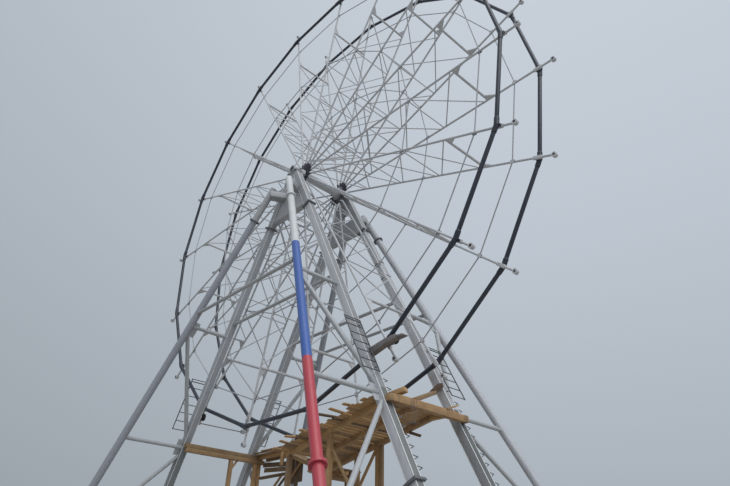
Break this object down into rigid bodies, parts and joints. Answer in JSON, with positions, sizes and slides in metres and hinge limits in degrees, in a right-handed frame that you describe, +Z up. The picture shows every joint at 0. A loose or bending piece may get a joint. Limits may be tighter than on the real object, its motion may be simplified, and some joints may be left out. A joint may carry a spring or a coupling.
{
  "type": "ferris wheel under assembly",
  "caption": "Fairground ferris wheel before its cabins are hung: lattice spokes between two dark rims, on box legs and round rakers, with timber staging below.",
  "frame": {"origin": "on the ground in the middle, under the hub", "axes": "+Z up, +Y along the hub's shaft to the far side, +X to the right seen from the near side"},
  "size_m": [26.602, 12.828, 32.6061],
  "materials": {
    "steel": "light grey paint, dull, with dirt in the corners",
    "rim_paint": "dark navy paint, half gloss",
    "band_paint": "white, blue and red paint in three bands",
    "timber": "rough sawn softwood, weathered tan",
    "tyre": "black rubber"
  },
  "bodies": {
    "support": {"leg_near_left": "steel", "raker_near_left": "steel", "leg_near_right": "steel", "raker_near_right": "band_paint", "leg_far_left": "steel", "raker_far_left": "steel", "leg_far_right": "steel", "raker_far_right": "steel", "bearing_head_near": "steel", "bearing_head_far": "steel", "leg_tie_near": "steel", "raker_tie_near": "steel", "leg_tie_far": "steel", "raker_tie_far": "steel", "corner_brace_near_left": "steel", "corner_brace_near_right": "steel", "corner_brace_far_left": "steel", "corner_brace_far_right": "steel", "rim_drive_near_left": "steel", "rim_drive_near_right": "steel", "service_ladder_near_left": "steel", "service_ladder_near_right": "steel", "service_ladder_far_left": "steel", "service_ladder_far_right": "steel", "timber_deck": "timber", "trestle_near": "timber", "trestle_far": "timber", "cross_beam_left": "timber", "cross_beam_right": "timber"},
    "wheel": {"wheel_hub": "steel", "spoke_frame_01": "steel", "spoke_frame_02": "steel", "spoke_frame_03": "steel", "spoke_frame_04": "steel", "spoke_frame_05": "steel", "spoke_frame_06": "steel", "spoke_frame_07": "steel", "spoke_frame_08": "steel", "spoke_frame_09": "steel", "spoke_frame_10": "steel", "spoke_frame_11": "steel", "spoke_frame_12": "steel", "spoke_frame_13": "steel", "spoke_frame_14": "steel", "spoke_frame_15": "steel", "spoke_frame_16": "steel", "spoke_frame_17": "steel", "spoke_frame_18": "steel", "near_rim_arc_1": "rim_paint", "near_rim_arc_2": "rim_paint", "near_rim_arc_3": "rim_paint", "far_rim_arc_1": "rim_paint", "far_rim_arc_2": "rim_paint", "far_rim_arc_3": "rim_paint"},
    "drive_tyre_near_left": {"drive_tyre_near_left": "tyre"},
    "drive_tyre_near_right": {"drive_tyre_near_right": "tyre"}
  },
  "joints": [
    {"name": "wheel_spin", "type": "hinge", "parent": "support", "child": "wheel", "pos_m": [0, 0, 19.5], "axis": [0, 1, 0], "continuous": true},
    {"name": "tyre_spin_near_left", "type": "hinge", "parent": "support", "child": "drive_tyre_near_left", "pos_m": [-5.90118, -1.432, 8.16394], "axis": [0, 1, 0], "continuous": true},
    {"name": "tyre_spin_near_right", "type": "hinge", "parent": "support", "child": "drive_tyre_near_right", "pos_m": [6.77241, -1.432, 8.66188], "axis": [0, 1, 0], "continuous": true}
  ]
}
